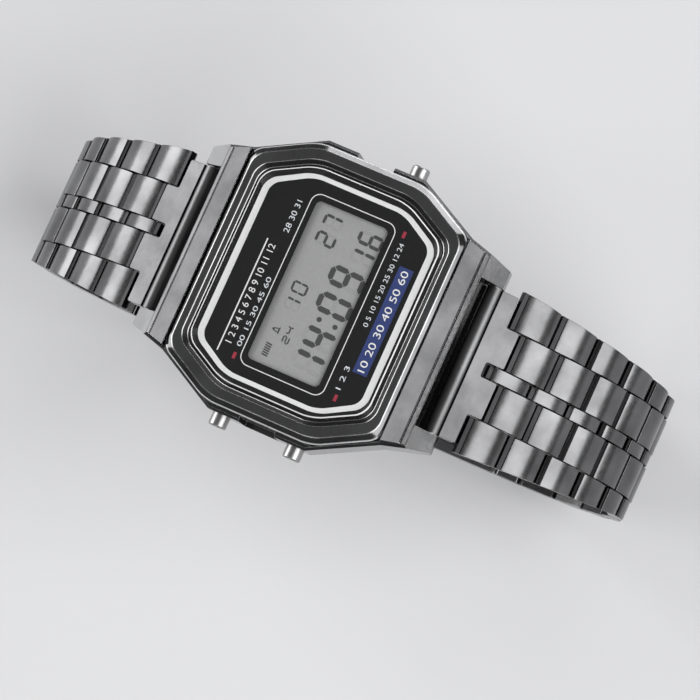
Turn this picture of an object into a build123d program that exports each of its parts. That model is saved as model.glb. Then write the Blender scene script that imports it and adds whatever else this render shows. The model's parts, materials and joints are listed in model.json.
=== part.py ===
from build123d import *
from math import cos, radians, sin, tan
import os

# A digital wristwatch: an octagonal steel case with a flat crystal over a liquid-crystal display,
# three side pushers, and a five-column steel bracelet buckled into a ring.
# Millimetres. +X is 3 o'clock, +Y is 12 o'clock, +Z is out of the crystal, and the origin is the
# middle of the case back's outer face. The 12 o'clock half of the bracelet is modelled, and the
# 6 o'clock half is the same turned half round about Z.

# Fits
overrun = 1.0            # how far a cutting body runs past what it cuts
slide_clearance = 0.05   # pushers in their bores, radial
pin_clearance = 0.05     # bracelet pins and spring bars in their bores, radial
seat_clearance = 0.05    # fixed pieces in their seats

# Case middle, in plan
flank_half = 16.5        # half width over the button guards
guard_reach = 6.0        # how far the guards run from the middle towards 12 and 6
waist_half = 12.55       # half width where the sides turn into the lugs
waist_y = 13.5
lug_end = 18.5           # half the length over the lugs
lug_tip_half = 11.1      # half width over the lug tips
wing_tip_half = 10.75    # half width of the lugs' upper storey at its end
bezel_half_x = 15.8
bezel_half_y = 13.5
bezel_side = 6.6         # half the straight side at 3 and 9
bezel_end = 12.1         # half the straight side at 12 and 6
guard_notch_half = 2.2   # the hollow between the two guards of one side
guard_notch_depth = 0.65
lug_gap = 18.0
case_end = 16.1          # the end face between the lugs

# Case middle, in height
case_bottom = 0.5
belt_low = 1.9           # the flank is upright from here
guard_top = 6.4          # to the top of the guards, which has a sloped edge
guard_edge = 0.3
bezel_top = 8.0
bezel_edge = 0.6         # height of the slope round the bezel's top
edge_slope = 45.0        # degrees from upright, at the edges of guards and bezel
under_slope = 42.0       # degrees from upright, below the belt
wing_crease_y = 15.5
wing_ridge_z = 7.75
wing_crease_z = 6.95
lug_top_z = 3.7          # top of the lug tip
lug_low_z = 2.0
lug_foot_y = 14.2
lug_foot_z = 0.9

# Crystal and what lies under it
crystal_half_x = 13.1
crystal_half_y = 11.3
crystal_side = 6.4
crystal_end = 10.5
crystal_thick = 0.8
crystal_bevel = 0.25
crystal_top = 8.2
rim_flare = 0.75         # the sloping ring between the crystal and the bezel's flat
rim_depth = 0.5
rim_slope = 42.0         # degrees from upright, also at the crystal's ground edge
panel_half_x = 12.0
panel_half_y = 10.1
panel_side = 5.6
panel_end = 9.5
panel_thick = 0.3
window_lap = 0.2         # how far the panel covers the display glass at its two ends
window_top = 4.3         # the display window's upper and lower edges
window_low = -4.85

# Module, from the dial down
cavity_high = 6.3        # the wide part of the cavity ends here, below the bezel's corners
cavity_half_x = 12.0
cavity_half_y = 10.3
cell_gap = 2.0           # from the display glass to the cavity's sides
cell_top = 4.75          # display glass
cell_low = -5.25
cell_thick = 1.2
reflector_thick = 0.5
strip_width = 1.1
board_gap_x = 2.1        # from the board to the cavity's sides
board_gap_y = 1.3
board_thick = 0.8
board_top = 4.0
frame_gap_x = 0.5        # from the frame to the cavity's sides
frame_gap_y = 0.3
frame_low = 1.35
chip_size = 4.0
chip_thick = 0.6
battery_gap_y = 2.3      # from the battery to the cavity's sides
battery_gap_x = 1.4
battery_thick = 1.6
clip_width = 3.0
clip_thick = 0.15
sounder_radius = 2.4
sounder_thick = 0.25
sounder_gap = 3.8        # from the sounder's middle to the cavity's side
sounder_y = -5.6

# Case back
back_lap_x = 1.2         # how far the back reaches past the cavity
back_lap_y = 2.6
back_corner = 3.4
back_thick = 0.9
back_rim = 0.35          # slope round its outer face
gasket_width = 0.6
gasket_high = 0.6
gasket_inset = 0.25      # from the cavity's edge
pry_half = 1.6           # the notch at the 6 o'clock edge for opening the snap-on back
pry_depth = 0.35

# Pushers
pusher_y = 4.6
pusher_z = 4.3
pusher_radius = 1.05
pusher_tip = 17.95       # distance of the outer end from the middle
pusher_travel = 0.8
pusher_head = 3.85       # length of the thick end
pusher_floor = 12.95     # bottom of the thick bore
stem_radius = 0.45
stem_reach = 0.45        # how far a stem stands into the cavity
keeper_half = 0.75       # the square clip on the stem's inner end
keeper_thick = 0.25

# Spring bars
bar_radius = 0.75
bar_tip_radius = 0.4
bar_tip_reach = 0.8      # how far a tip enters the lug
bar_y = 17.6
bar_z = 3.0

# Bracelet, across
centre_half = 0.75
column_gap = 0.12
inter_width = 4.4
outer_half_first = 9.75  # half width at the first link
outer_half_last = 7.65   # half width from the last tapering link on
taper_links = 5

# Bracelet, along and through
pitch = 5.39             # from pin to pin
end_gap = 0.25           # between pieces in one column
lap = 1.7                # how far the inter columns run ahead of the others
link_under = 0.85        # underside below the pins
link_edge = 0.62         # top edge of a piece above the pins
link_crown = 1.08        # middle of a piece's domed top above the pins
rib_length = 0.58        # the low step at a piece's case end
rib_top = 0.5
foot_along = 0.42        # slope at the underside's ends
foot_up = 0.5
pin_radius = 0.3
pin_sides = 12           # pins, bars, stems and the sounder are prisms of so many sides
pin_bite = 0.7           # how far a pin enters the pieces that hold it
tie_size = 0.7           # the square bar that ties a link's five columns

# How the bracelet hangs at rest, in degrees
end_link_slope = 18.0
first_slope = 33.0
bend_angle = 5.5         # from the first link to the second
bend_growth = 3.0        # each later bend is larger by this
seen_links = 5
links_per_side = 10
clasp_slope = 180.0

# End links
plate_half = 8.85
plate_pin = 3.75         # from the spring bar to the first pin
plate_top = 0.88
barrel_radius = 0.95
barrel_groove = 0.75     # where the plate starts beyond the barrel
groove_floor = 0.5
slot_extra = 0.45        # the middle slot is deeper than the side notches

# Clasp
clasp_plate_half = 6.1
clasp_plate_top = -0.1
knuckle_length = 2.7     # the clasp's end knuckles, from the pin inward
cover_top = 1.1
cover_crown = 0.25
cover_skin = 0.75
cover_wall = 1.15
hinge_inset = 4.6        # cover hinge, from the 12 o'clock pin
hinge_height = 0.3
hinge_boss = 0.62
hinge_block_half = 2.5
cover_notch = 0.8        # cut-out in the cover round the hinge block, from the hinge inward
cover_end_gap = 0.4


def outline(*quarter):
    """A symmetric outline from its corners between 3 and 12 o'clock."""
    corners = list(quarter) + [(-x, y) for x, y in reversed(quarter)]
    corners += [(-x, -y) for x, y in quarter] + [(x, -y) for x, y in reversed(quarter)]
    return make_face(Polyline(*corners, close=True))


def octagon(half_x, half_y, side, end):
    """A symmetric octagon: half width, half height, half its upright sides, half its level ends."""
    return outline((half_x, side), (end, half_y))


def slab(face, low, high):
    """A flat outline raised from one height to another."""
    return Pos(0, 0, low) * extrude(face, amount=high - low)


def sloped(face, wide, narrow, slope):
    """A flat outline at its wide height, drawn in by a slope up or down to its narrow height."""
    inset = abs(narrow - wide) * tan(radians(slope))
    smaller = offset(face, amount=-inset, kind=Kind.INTERSECTION)
    return loft([Pos(0, 0, wide) * face, Pos(0, 0, narrow) * smaller], ruled=True)


def block(x0, x1, y0, y1, z0, z1):
    """A box from its limits."""
    size = (x1 - x0, y1 - y0, z1 - z0)
    return Pos((x0 + x1) / 2, (y0 + y1) / 2, (z0 + z1) / 2) * Box(*size)


def across(face, x0, x1):
    """A side outline, drawn along Y and up Z, run across from x0 to x1."""
    return extrude(Plane.YZ.offset(x0) * face, amount=x1 - x0, dir=(1, 0, 0))


def rod(radius, x0, x1, y=0.0, z=0.0):
    """A round rod along X."""
    return Pos((x0 + x1) / 2, y, z) * Rot(0, 90, 0) * Cylinder(radius, x1 - x0)


def pin(radius, x0, x1, y=0.0, z=0.0):
    """A many-sided pin along X."""
    return across(Pos(y, z) * RegularPolygon(radius, pin_sides), x0, x1)


def post(radius, x, y, low, high):
    """A round post along Z."""
    return Pos(x, y, (low + high) / 2) * Cylinder(radius, high - low)


def turned(shape):
    """The same piece at the 6 o'clock end."""
    return Rot(0, 0, 180) * shape


def save(node, *solids):
    """Writes one node: a single solid, or a group of separate ones."""
    shape = solids[0] if len(solids) == 1 else Compound(children=list(solids))
    export_step(shape, f"parts/{node}.step")


# Heights and widths that follow from one another
crystal_low = crystal_top - crystal_thick
panel_low = crystal_low - panel_thick
cell_high = panel_low
cell_bottom = cell_high - cell_thick
board_low = board_top - board_thick
battery_top = board_low - seat_clearance
battery_low = battery_top - battery_thick
cell_half = cavity_half_x - cell_gap
window_half = cell_half - window_lap
board_half_x = cavity_half_x - board_gap_x
board_half_y = cavity_half_y - board_gap_y
battery_radius = cavity_half_y - battery_gap_y
battery_x = cavity_half_x - battery_gap_x - battery_radius
sounder_x = sounder_gap - cavity_half_x
frame_half_x = cavity_half_x - frame_gap_x
frame_half_y = cavity_half_y - frame_gap_y
back_half_x = cavity_half_x + back_lap_x
back_half_y = cavity_half_y + back_lap_y
stem_end = cavity_half_x - stem_reach


def pusher_places():
    """Each pusher's node, its side and its place along the case."""
    return [("light", -1, pusher_y), ("mode", -1, -pusher_y), ("start", 1, -pusher_y)]


def case_plan():
    """The case's largest outline: guards at 3 and 9, then straight sides and the lugs."""
    return outline((flank_half, guard_reach), (waist_half, waist_y), (lug_tip_half, lug_end))


def wing_profile():
    """The case seen from the side: flat top, two sloping facets, and the lug's tip."""
    half = [
        (lug_foot_y, case_bottom),
        (bar_y, lug_foot_z),
        (lug_end, lug_low_z),
        (lug_end, lug_top_z),
        (wing_crease_y, wing_crease_z),
        (bezel_half_y, wing_ridge_z),
        (bezel_half_y, bezel_top),
    ]
    return make_face(Polyline(*half, *[(-y, z) for y, z in reversed(half)], close=True))


def case_middle():
    """Case, bezel, lugs and button guards in one piece."""
    plan = case_plan()
    ledge = guard_top - guard_edge
    body = slab(plan, belt_low, ledge)
    body += sloped(plan, ledge, guard_top, edge_slope)
    body += sloped(plan, belt_low, case_bottom, under_slope)
    bezel = octagon(bezel_half_x, bezel_half_y, bezel_side, bezel_end)
    body += slab(bezel, ledge, bezel_top - bezel_edge)
    body += sloped(bezel, bezel_top - bezel_edge, bezel_top, edge_slope)
    body += slab(octagon(bezel_end, lug_end, bezel_half_y, wing_tip_half), ledge, wing_ridge_z)
    body &= across(wing_profile(), -flank_half - overrun, flank_half + overrun)
    for side in (1, -1):
        notch = sorted((side * (flank_half - guard_notch_depth), side * (flank_half + overrun)))
        body -= block(*notch, -guard_notch_half, guard_notch_half, belt_low, bezel_top)
        gap = sorted((side * case_end, side * (lug_end + overrun)))
        body -= block(-lug_gap / 2, lug_gap / 2, *gap, -overrun, bezel_top + overrun)
    return body - case_hollows()


def case_hollows():
    """Everything that is cut out of the case: crystal seat, cavity, back seat and bores."""
    crystal = crystal_outline(seat_clearance)
    hollow = slab(crystal, crystal_low, bezel_top + overrun)
    flare = crystal_outline(seat_clearance + rim_flare)
    hollow += sloped(flare, bezel_top, bezel_top - rim_depth, rim_slope)
    hollow += slab(panel_outline(seat_clearance), cell_bottom, crystal_low)
    hollow += block(*both(cavity_half_x), *both(cavity_half_y), -overrun, cavity_high)
    hollow += slab(back_outline(seat_clearance), -overrun, back_thick)
    hollow += gasket_ring(seat_clearance)
    for _, side, y in pusher_places():
        bore = pusher_radius + slide_clearance
        reach = sorted((side * pusher_floor, side * (flank_half + overrun)))
        hollow += rod(bore, *reach, y, pusher_z)
        reach = sorted((side * (cavity_half_x - overrun), side * pusher_floor))
        hollow += pin(stem_radius + slide_clearance, *reach, y, pusher_z)
    tip = bar_tip_radius + pin_clearance
    reach = lug_gap / 2 + bar_tip_reach + seat_clearance
    for y in (bar_y, -bar_y):
        hollow += pin(tip, -reach, reach, y, bar_z)
    return hollow


def both(half):
    return -half, half


def crystal_outline(grow=0.0):
    return octagon(crystal_half_x + grow, crystal_half_y + grow, crystal_side, crystal_end)


def panel_outline(grow=0.0):
    return octagon(panel_half_x + grow, panel_half_y + grow, panel_side, panel_end)


def back_outline(grow=0.0):
    half_x, half_y = back_half_x + grow, back_half_y + grow
    return octagon(half_x, half_y, back_half_y - back_corner, back_half_x - back_corner)


def gasket_ring(grow=0.0):
    """A flat rectangular seal round the cavity, in a groove over the back's inner face."""
    near = gasket_inset - grow
    far = gasket_inset + gasket_width + grow
    top = back_thick + gasket_high + grow
    ring = block(*both(cavity_half_x + far), *both(cavity_half_y + far), back_thick, top)
    inside = block(*both(cavity_half_x + near), *both(cavity_half_y + near), 0, top + overrun)
    return ring - inside


def crystal():
    top = crystal_top - crystal_bevel
    return slab(crystal_outline(), crystal_low, top) + sloped(crystal_outline(), top, crystal_top, rim_slope)


def dial_panel():
    """The printed plate under the crystal, with the display's window."""
    window = block(*both(window_half), window_low, window_top, panel_low - overrun, crystal_low + overrun)
    return slab(panel_outline(), panel_low, crystal_low) - window


def module_frame():
    """The moulded frame that holds the display, the board and the battery."""
    frame = block(*both(frame_half_x), *both(frame_half_y), frame_low, cavity_high)
    frame += slab(panel_outline(-seat_clearance), cavity_high, cell_high)
    room = seat_clearance
    frame -= block(*both(cell_half + room), cell_low - room, cell_top + room, board_top, cell_high + overrun)
    frame -= block(*both(board_half_x + room), *both(board_half_y + room), board_low - room, board_top + room)
    reach = battery_radius + room
    frame -= block(battery_x - reach, battery_x + reach, *both(reach), frame_low - overrun, board_low)
    for _, side, y in pusher_places():
        deep = stem_end - pusher_travel - 2 * slide_clearance
        reach = sorted((side * deep, side * (frame_half_x + overrun)))
        width = keeper_half + 2 * slide_clearance
        frame -= block(*reach, y - width, y + width, pusher_z - width, pusher_z + width)
    return frame


def circuit_board():
    """Board with its chip; the display's contacts run along its long edges."""
    board = block(*both(board_half_x), *both(board_half_y), board_low, board_top)
    chip = chip_size / 2
    return board + block(*both(chip), *both(chip), board_top, board_top + chip_thick / 2)


def connector_strips():
    """The two rubber strips between the board and the display's long edges."""
    rows = [(cell_low, cell_low + strip_width), (cell_top - strip_width, cell_top)]
    return [block(*both(cell_half), low, high, board_top, cell_bottom) for low, high in rows]


def reflector():
    room = strip_width + seat_clearance
    low = cell_bottom - reflector_thick
    return block(*both(cell_half), cell_low + room, cell_top - room, low, cell_bottom)


def battery():
    return post(battery_radius, battery_x, 0, battery_low, battery_top)


def battery_clip():
    """The sprung strap that holds the battery, with a leg down each side of it."""
    low = battery_low - clip_thick
    reach = battery_radius + seat_clearance
    width = both(clip_width / 2)
    return block(battery_x - reach, battery_x + reach, *width, low, battery_low)


def sounder():
    disc = RegularPolygon(sounder_radius, pin_sides)
    return slab(Pos(sounder_x, sounder_y) * disc, back_thick, back_thick + sounder_thick)


def case_back():
    """The snap-on back: a plate with a sloped rim and a notch for opening it."""
    plate = slab(back_outline(), back_rim, back_thick)
    plate += sloped(back_outline(), back_rim, 0, under_slope)
    edge = back_half_y - pry_depth
    return plate - block(*both(pry_half), -back_half_y - overrun, -edge, -overrun, back_rim)


def spring_bar(y):
    """A telescopic bar between two lugs, with a thin tip at each end."""
    body = lug_gap / 2 - seat_clearance
    tip = lug_gap / 2 + bar_tip_reach
    return pin(bar_radius, -body, body, y, bar_z) + pin(bar_tip_radius, -tip, tip, y, bar_z)


def pusher(side, y):
    """Thick polished end, thin stem through the case wall and the square clip that keeps it in."""
    inner = pusher_tip - pusher_head
    whole = rod(pusher_radius, inner, pusher_tip, y * side, pusher_z)
    whole += pin(stem_radius, stem_end, inner, y * side, pusher_z)
    clip = cavity_half_x - seat_clearance
    rows = (y * side - keeper_half, y * side + keeper_half)
    whole += block(clip - keeper_thick, clip, *rows, pusher_z - keeper_half, pusher_z + keeper_half)
    return whole if side > 0 else turned(whole)


def bracelet_slopes():
    """Each link's downward slope at rest: growing bends where seen, and even ones below."""
    slopes = [first_slope + bend_angle * n + bend_growth * n * (n - 1) / 2 for n in range(seen_links)]
    hidden = links_per_side - seen_links
    bend = (clasp_slope - slopes[-1]) / (hidden + 1)
    return slopes + [slopes[-1] + bend * (n + 1) for n in range(hidden)]


def bracelet_pins():
    """(y, z) of each pin of the 12 o'clock half, from the end link's to the clasp's."""
    y = bar_y + plate_pin * cos(radians(end_link_slope))
    z = bar_z - plate_pin * sin(radians(end_link_slope))
    pins = [(y, z)]
    for slope in bracelet_slopes():
        y += pitch * cos(radians(slope))
        z -= pitch * sin(radians(slope))
        pins.append((y, z))
    return pins


def placed(shape, y, z, slope):
    """Takes a piece from its own frame, +Y along the bracelet and +Z outward, to its place."""
    outward = (0, sin(radians(slope)), cos(radians(slope)))
    return Plane(origin=(0, y, z), x_dir=(1, 0, 0), z_dir=outward) * shape


end_round = (lap - end_gap) / 2       # a piece's end beyond its pin
end_face = (lap + end_gap) / 2        # the facing piece's end, from the same pin
inter_inner = centre_half + column_gap
inter_outer = inter_inner + inter_width
outer_inner = inter_outer + column_gap


def piece_face(start, end):
    """Side outline of one piece: a low rib, a domed top and sloped ends under the pins."""
    dome = start + rib_length
    top = ThreePointArc((dome, link_edge), ((dome + end) / 2, link_crown), (end, link_edge))
    rest = Polyline(
        (end, link_edge),
        (end, foot_up - link_under),
        (end - foot_along, -link_under),
        (start + foot_along, -link_under),
        (start, foot_up - link_under),
        (start, rib_top),
        (dome, rib_top),
        (dome, link_edge),
    )
    return make_face(top + rest)


def outer_half(distance):
    """The bracelet's half width at a distance from its first pin."""
    share = min(distance / (taper_links * pitch), 1.0)
    return outer_half_first + (outer_half_last - outer_half_first) * share


def outer_columns(face, start, end, half_start, half_end):
    """Both outer columns of one outline, trimmed along the bracelet's tapering edges."""
    strip = across(face, outer_inner, half_start)
    edge = Polyline(
        (outer_inner, start),
        (half_start, start),
        (half_end, end),
        (outer_inner, end),
        close=True,
    )
    strip &= slab(make_face(edge), -link_under, link_crown)
    return strip + mirror(strip, Plane.YZ)


def cross_pin(y):
    """A hinge pin across the middle slot, held in the inter columns on both sides of it."""
    return pin(pin_radius, *both(inter_inner + pin_bite), y)


def centre_bore(y):
    """The bore in a centre piece for the neighbour's pin."""
    return pin(pin_radius + pin_clearance, *both(inter_inner), y)


def link(number, pinned=True):
    """One link: two outer pieces and a narrow centre piece, tied to two pieces set further on."""
    near = (-end_round, pitch - end_face)
    ahead = (end_face, pitch + end_round)
    halves = [outer_half((number - 1) * pitch + y) for y in near]
    solid = across(piece_face(*near), *both(centre_half)) - centre_bore(0)
    solid += outer_columns(piece_face(*near), *near, *halves)
    for side in (1, -1):
        columns = sorted((side * inter_inner, side * inter_outer))
        solid += across(piece_face(*ahead), *columns)
    tie = outer_inner + pin_bite
    solid += block(*both(tie), (pitch - tie_size) / 2, (pitch + tie_size) / 2, *both(tie_size / 2))
    return solid + cross_pin(pitch) if pinned else solid


def end_link():
    """The plate between the lugs: a barrel round the spring bar, side notches and a middle slot."""

    def side(end):
        return make_face(
            Polyline(
                (0, -link_under),
                (0, groove_floor),
                (barrel_groove, groove_floor),
                (barrel_groove, plate_top),
                (end, link_edge),
                (end, foot_up - link_under),
                (end - foot_along, -link_under),
                close=True,
            )
        )

    notch = plate_pin - end_face
    solid = pin(barrel_radius, *both(plate_half))
    solid += across(side(notch), *both(plate_half))
    for way in (1, -1):
        tongue = sorted((way * inter_inner, way * inter_outer))
        solid += across(side(plate_pin + end_round), *tongue)
    slot = notch - slot_extra
    solid -= block(*both(inter_inner), slot, notch + overrun, -link_under - overrun, link_crown + overrun)
    solid += cross_pin(plate_pin)
    return solid - pin(bar_radius + pin_clearance, *both(plate_half + overrun))


def clasp_length():
    """From the clasp's 12 o'clock pin to its 6 o'clock one, which lie opposite each other."""
    return 2 * bracelet_pins()[-1][0]


def clasp_frame():
    """The clasp's inner plate, with knuckles for the bracelet's ends and the cover's hinge block."""
    length = clasp_length()
    half = outer_half(links_per_side * pitch)
    solid = block(*both(clasp_plate_half), end_face, length - end_face, -link_under, clasp_plate_top)
    for start, end in ((-end_round, knuckle_length), (length - knuckle_length, length + end_round)):
        face = knuckle_face(start, end)
        solid += across(face, *both(centre_half))
        for way in (1, -1):
            solid += across(face, *sorted((way * outer_inner, way * half)))
    solid += rod(hinge_boss, *both(hinge_block_half), hinge_inset, hinge_height)
    foot = (hinge_inset - hinge_boss, hinge_inset + hinge_boss)
    solid += block(*both(hinge_block_half), *foot, -link_under, hinge_height)
    solid -= pin(pin_radius + pin_clearance, *both(hinge_block_half + overrun), hinge_inset, hinge_height)
    return solid - centre_bore(0) - centre_bore(length)


def knuckle_face(start, end):
    """Side outline of a clasp knuckle, flat on top and sloped under the pin."""
    return make_face(
        Polyline(
            (start, foot_up - link_under),
            (start, link_edge),
            (end, link_edge),
            (end, foot_up - link_under),
            (end - foot_along, -link_under),
            (start + foot_along, -link_under),
            close=True,
        )
    )


def clasp_cover():
    """The fold-over cover: a domed skin with two side walls, hung on a pin through the hinge block."""
    half = outer_half(links_per_side * pitch)
    end = clasp_length() - knuckle_length - cover_end_gap
    edge, inside, inner = cover_top - cover_crown, cover_top - cover_skin, half - cover_wall
    crown = ThreePointArc((-half, edge), (0, cover_top), (half, edge))
    walls = Polyline(
        (half, edge),
        (half, -link_under),
        (inner, -link_under),
        (inner, inside),
        (-inner, inside),
        (-inner, -link_under),
        (-half, -link_under),
        (-half, edge),
    )
    channel = Plane.XZ.offset(-hinge_inset) * make_face(crown + walls)
    solid = extrude(channel, amount=end - hinge_inset, dir=(0, 1, 0))
    notch = hinge_block_half + column_gap
    solid -= block(*both(notch), hinge_inset, hinge_inset + cover_notch, -link_under, cover_top)
    for way in (1, -1):
        solid += rod(hinge_boss, *sorted((way * inner, way * half)), hinge_inset, hinge_height)
    return solid + pin(pin_radius, *both(half - cover_wall / 2), hinge_inset, hinge_height)


def build():
    os.makedirs("parts", exist_ok=True)
    save("case_middle", case_middle())
    save("crystal", crystal())
    save("dial_panel", dial_panel())
    save("lcd_cell", block(*both(cell_half), cell_low, cell_top, cell_bottom, cell_high))
    save("reflector", reflector())
    save("connector_strips", *connector_strips())
    save("module_frame", module_frame())
    save("circuit_board", circuit_board())
    save("battery", battery())
    save("battery_clip", battery_clip())
    save("sounder", sounder())
    save("case_back", case_back())
    save("back_gasket", gasket_ring())
    save("spring_bars", spring_bar(bar_y), spring_bar(-bar_y))
    for name, side, y in pusher_places():
        save(f"pusher_{name}", pusher(side, y))
    plate = placed(end_link(), bar_y, bar_z, end_link_slope)
    save("end_link_12", plate)
    save("end_link_6", turned(plate))
    pins = bracelet_pins()
    for n, slope in enumerate(bracelet_slopes()):
        save(f"link_12_{n + 1:02d}", placed(link(n + 1), *pins[n], slope))
        pinned = n + 1 < links_per_side
        save(f"link_6_{n + 1:02d}", turned(placed(link(n + 1, pinned), *pins[n], slope)))
    save("clasp_frame", placed(clasp_frame(), *pins[-1], clasp_slope))
    save("clasp_cover", placed(clasp_cover(), *pins[-1], clasp_slope))


build()
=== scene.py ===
import json
from math import atan2, cos, pi, radians, sin, tan

import bmesh
import bpy
from mathutils import Matrix, Vector


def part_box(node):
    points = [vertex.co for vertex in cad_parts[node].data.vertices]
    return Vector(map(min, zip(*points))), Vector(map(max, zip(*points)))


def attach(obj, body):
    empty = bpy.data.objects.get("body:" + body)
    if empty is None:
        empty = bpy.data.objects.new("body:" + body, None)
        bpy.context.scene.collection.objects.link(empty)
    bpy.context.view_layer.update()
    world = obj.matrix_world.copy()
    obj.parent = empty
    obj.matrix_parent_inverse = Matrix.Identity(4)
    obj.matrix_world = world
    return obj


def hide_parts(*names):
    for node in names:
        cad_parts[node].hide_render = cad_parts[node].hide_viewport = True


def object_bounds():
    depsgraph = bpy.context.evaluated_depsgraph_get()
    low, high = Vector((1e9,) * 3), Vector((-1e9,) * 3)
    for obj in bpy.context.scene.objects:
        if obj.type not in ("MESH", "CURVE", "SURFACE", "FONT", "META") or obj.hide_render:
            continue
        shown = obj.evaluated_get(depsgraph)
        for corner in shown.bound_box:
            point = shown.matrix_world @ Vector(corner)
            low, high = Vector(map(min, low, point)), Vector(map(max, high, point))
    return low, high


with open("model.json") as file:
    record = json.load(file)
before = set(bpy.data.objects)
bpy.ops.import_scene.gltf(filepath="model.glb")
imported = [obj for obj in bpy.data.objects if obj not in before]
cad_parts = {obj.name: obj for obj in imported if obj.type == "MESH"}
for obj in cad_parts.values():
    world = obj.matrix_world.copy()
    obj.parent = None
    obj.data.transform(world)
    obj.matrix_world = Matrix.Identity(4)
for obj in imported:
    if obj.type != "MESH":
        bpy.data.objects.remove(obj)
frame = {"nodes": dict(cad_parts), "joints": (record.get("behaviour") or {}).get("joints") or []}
cad_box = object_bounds()
mm = 0.001


# The studio: a plain pale floor under the buckled bracelet, large soft boxes beyond its two ends
# and small ones at its sides, and a long lens that looks down on the dial as the photograph does.
floor_gap = 0.02 * mm
floor_size = 4.0
eye = Vector((-31.10, -67.67, 332.68)) * mm
gaze = Vector((0.0806, 0.1850, -0.9794)).normalized()
upward = Vector((0.9083, 0.3910, 0.1486))
lens_mm = 154.6
sensor_mm = 36.0
nearest, farthest = 0.01, 20.0

scene = bpy.context.scene
scene.view_settings.view_transform = "Standard"

rightward = gaze.cross(upward).normalized()
upward = rightward.cross(gaze).normalized()
camera_data = bpy.data.cameras.new("camera")
camera_data.lens = lens_mm
camera_data.sensor_width = sensor_mm
camera_data.clip_start = nearest
camera_data.clip_end = farthest
camera = bpy.data.objects.new("camera", camera_data)
turn = Matrix((rightward, upward, -gaze)).transposed()
camera.matrix_world = Matrix.Translation(eye) @ turn.to_4x4()
scene.collection.objects.link(camera)
scene.camera = camera


def shader(name):
    """A new material with its nodes, its main shader and the object's own coordinates."""
    material = bpy.data.materials.new(name)
    material.use_nodes = True
    nodes = material.node_tree.nodes
    main = nodes["Principled BSDF"]
    place = nodes.new("ShaderNodeTexCoord")
    return material, nodes, material.node_tree.links, main, place.outputs["Object"]


floor_low = cad_box[0][2] - floor_gap
floor_mesh = bmesh.new()
bmesh.ops.create_grid(floor_mesh, x_segments=1, y_segments=1, size=floor_size / 2)
bmesh.ops.translate(floor_mesh, verts=floor_mesh.verts, vec=(0, 0, floor_low))
floor_data = bpy.data.meshes.new("floor")
floor_mesh.to_mesh(floor_data)
floor_mesh.free()
floor = bpy.data.objects.new("floor", floor_data)
scene.collection.objects.link(floor)
floor_paint, _, _, main, _ = shader("pale_floor")
main.inputs["Base Color"].default_value = (0.60, 0.60, 0.61, 1)
main.inputs["Roughness"].default_value = 0.85
floor_data.materials.append(floor_paint)

world = bpy.data.worlds.new("studio")
scene.world = world
world.use_nodes = True
sky = world.node_tree.nodes["Background"]
sky.inputs["Color"].default_value = (0.78, 0.79, 0.80, 1)
sky.inputs["Strength"].default_value = 0.25


def soft_box(name, place, size, power):
    """A rectangular area lamp that faces the watch. Place and size are in metres."""
    lamp = bpy.data.lights.new(name, "AREA")
    lamp.shape = "RECTANGLE"
    lamp.size, lamp.size_y = size
    lamp.energy = power
    box = bpy.data.objects.new(name, lamp)
    aim = (-Vector(place)).to_track_quat("-Z", "Y")
    box.matrix_world = Matrix.Translation(place) @ aim.to_matrix().to_4x4()
    scene.collection.objects.link(box)


soft_box("north_box", (0.0, 0.87, 0.33), (1.1, 0.6), 10.0)
soft_box("south_box", (-0.05, -0.66, 0.55), (1.0, 0.75), 9.5)
soft_box("east_box", (0.95, -0.08, 0.17), (0.7, 0.34), 4.0)
soft_box("west_box", (-0.80, 0.05, 0.62), (0.4, 0.4), 0.9)


# Case middle: one steel stamping with the bezel, lugs and button guards, polished and then plated
# dark. Its edges are softened by polishing, and the plating shows fine wipes and a faint swell.
edge_angle = radians(24)
case_edge = 0.16 * mm


def plating(name, dark, light, smooth, rough, grain=2600.0, wave=0.012, finish=(1, 1, 1)):
    """Dark polished metal: cloudy tone, uneven gloss and a faint orange-peel surface."""
    material, nodes, links, main, place = shader(name)
    spread = nodes.new("ShaderNodeMapping")
    spread.inputs["Scale"].default_value = finish
    links.new(place, spread.inputs["Vector"])
    cloud = nodes.new("ShaderNodeTexNoise")
    cloud.inputs["Scale"].default_value = 180.0
    cloud.inputs["Detail"].default_value = 4.0
    links.new(spread.outputs["Vector"], cloud.inputs["Vector"])
    tone = nodes.new("ShaderNodeValToRGB")
    tone.color_ramp.elements[0].position = 0.35
    tone.color_ramp.elements[1].position = 0.68
    tone.color_ramp.elements[0].color = (*dark, 1)
    tone.color_ramp.elements[1].color = (*light, 1)
    links.new(cloud.outputs["Fac"], tone.inputs["Fac"])
    links.new(tone.outputs["Color"], main.inputs["Base Color"])
    wipes = nodes.new("ShaderNodeTexNoise")
    wipes.inputs["Scale"].default_value = grain
    wipes.inputs["Detail"].default_value = 6.0
    links.new(spread.outputs["Vector"], wipes.inputs["Vector"])
    gloss = nodes.new("ShaderNodeMapRange")
    gloss.inputs["To Min"].default_value = smooth
    gloss.inputs["To Max"].default_value = rough
    links.new(wipes.outputs["Fac"], gloss.inputs["Value"])
    links.new(gloss.outputs["Result"], main.inputs["Roughness"])
    swell = nodes.new("ShaderNodeTexNoise")
    swell.inputs["Scale"].default_value = 420.0
    swell.inputs["Detail"].default_value = 2.0
    links.new(place, swell.inputs["Vector"])
    relief = nodes.new("ShaderNodeBump")
    relief.inputs["Strength"].default_value = 1.0
    relief.inputs["Distance"].default_value = wave * mm
    links.new(swell.outputs["Fac"], relief.inputs["Height"])
    links.new(relief.outputs["Normal"], main.inputs["Normal"])
    main.inputs["Metallic"].default_value = 1.0
    return material


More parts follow.
